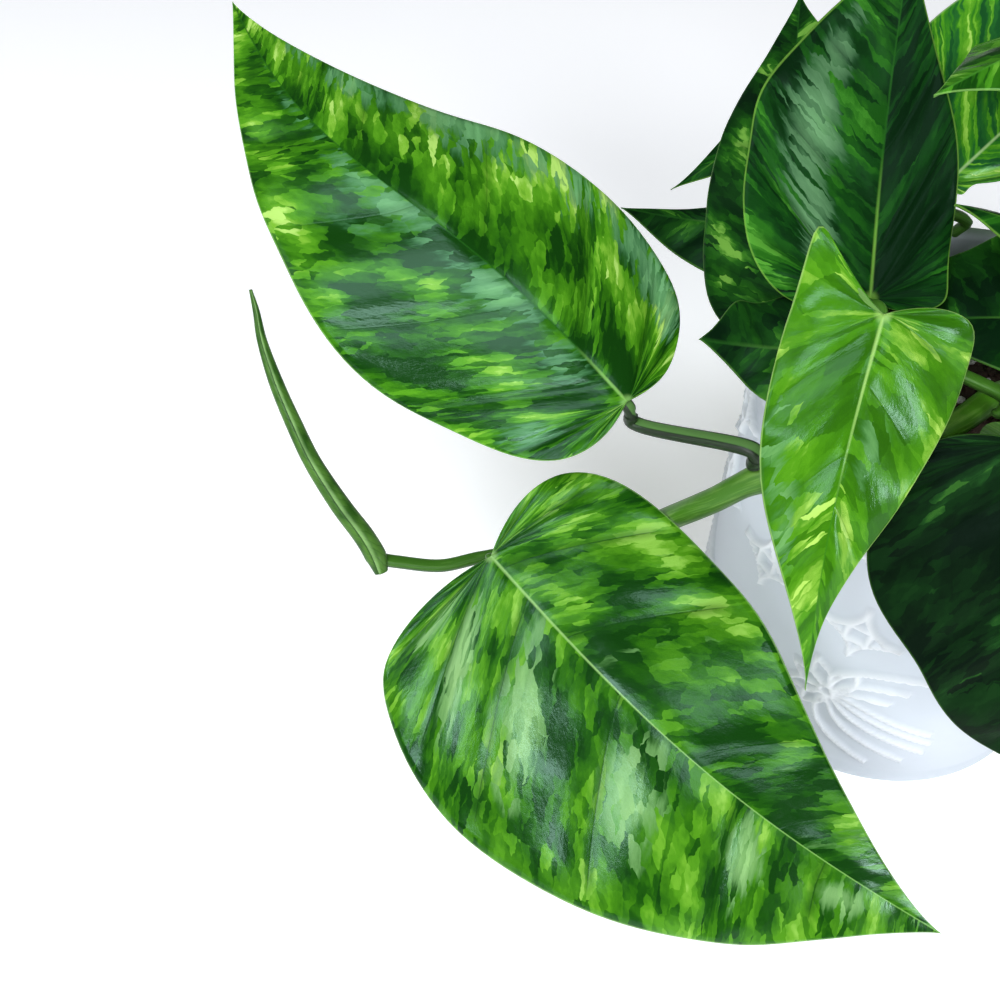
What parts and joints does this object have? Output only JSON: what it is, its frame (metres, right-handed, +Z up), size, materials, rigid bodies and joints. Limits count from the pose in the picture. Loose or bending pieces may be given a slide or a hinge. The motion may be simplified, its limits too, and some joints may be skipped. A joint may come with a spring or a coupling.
{
  "type": "potted pothos plant",
  "caption": "Small pothos in a white glazed pot: marbled heart-shaped leaves on stalks, and a stem that trails over the rim, as a tabletop plant.",
  "frame": {"origin": "centre of the pot's flat underside", "axes": "+Z up along the pot's axis; the trailing stem leaves the pot towards -X, and the pictured side faces -Y"},
  "size_m": [0.3502, 0.2744, 0.2124],
  "materials": {
    "glazed_pot": "gloss",
    "potting_soil": "matte",
    "stems": "satin",
    "leaves": "satin"
  },
  "bodies": {
    "root": {"pot": "glazed_pot", "soil": "potting_soil", "stem_trailing": "stems", "stem_front": "stems", "stem_left": "stems", "stem_rear": "stems", "stem_middle": "stems", "stem_right": "stems", "stem_right_rear": "stems", "leaf_left_large": "leaves", "leaf_front_left_large": "leaves", "leaf_bright_middle": "leaves", "leaf_dark_front": "leaves", "leaf_upright": "leaves", "leaf_upright_left": "leaves", "leaf_low_left": "leaves", "leaf_rear_left": "leaves", "leaf_rear_small": "leaves", "leaf_striped_rear": "leaves", "leaf_curled_top": "leaves", "leaf_small_middle": "leaves", "leaf_low_middle": "leaves", "leaf_right_front_large": "leaves", "leaf_right_large": "leaves", "leaf_front_right": "leaves", "leaf_right_low": "leaves", "leaf_middle_right": "leaves", "leaf_right_rear_low": "leaves", "leaf_rear_left_low": "leaves", "leaf_right_rear_large": "leaves", "leaf_rear_large": "leaves", "leaf_top_front": "leaves", "leaf_top_right": "leaves", "leaf_top_rear": "leaves", "leaf_rolled_young": "leaves"}
  },
  "joints": []
}
